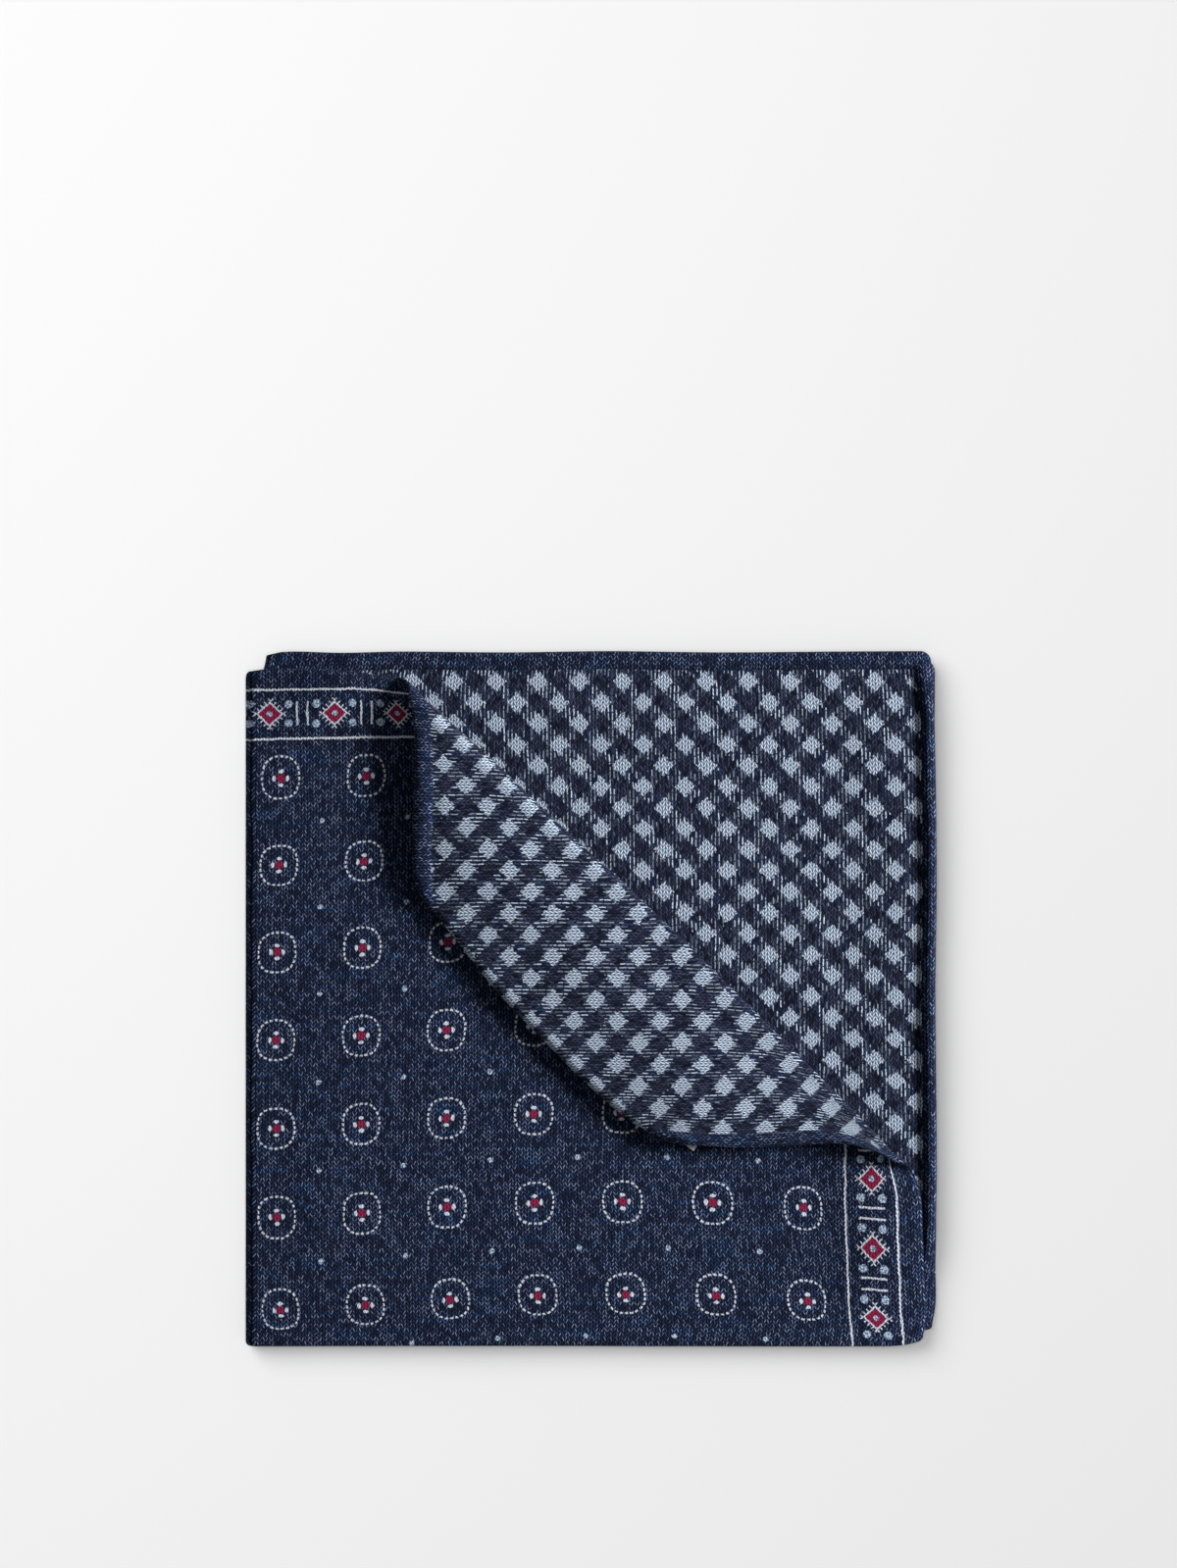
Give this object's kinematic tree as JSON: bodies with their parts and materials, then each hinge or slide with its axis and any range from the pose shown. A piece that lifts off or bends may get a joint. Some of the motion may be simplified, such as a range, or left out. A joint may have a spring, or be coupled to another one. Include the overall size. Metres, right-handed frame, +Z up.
{
  "type": "folded pocket square",
  "caption": "Square of patterned cloth with a rolled hem, folded in quarters, its top corner turned back on a diagonal and tucked under.",
  "frame": {"origin": "on the table, under the middle of the folded cloth's outline", "axes": "+X from the fold towards the open side edges, +Y from the other fold towards the open top edges, +Z up from the table"},
  "size_m": [0.1664, 0.1674, 0.0129],
  "materials": {
    "cloth": "matte, fine twill",
    "tape": "smooth, satin"
  },
  "bodies": {
    "root": {"pocket_square": "cloth", "label_tab": "tape"}
  },
  "joints": []
}
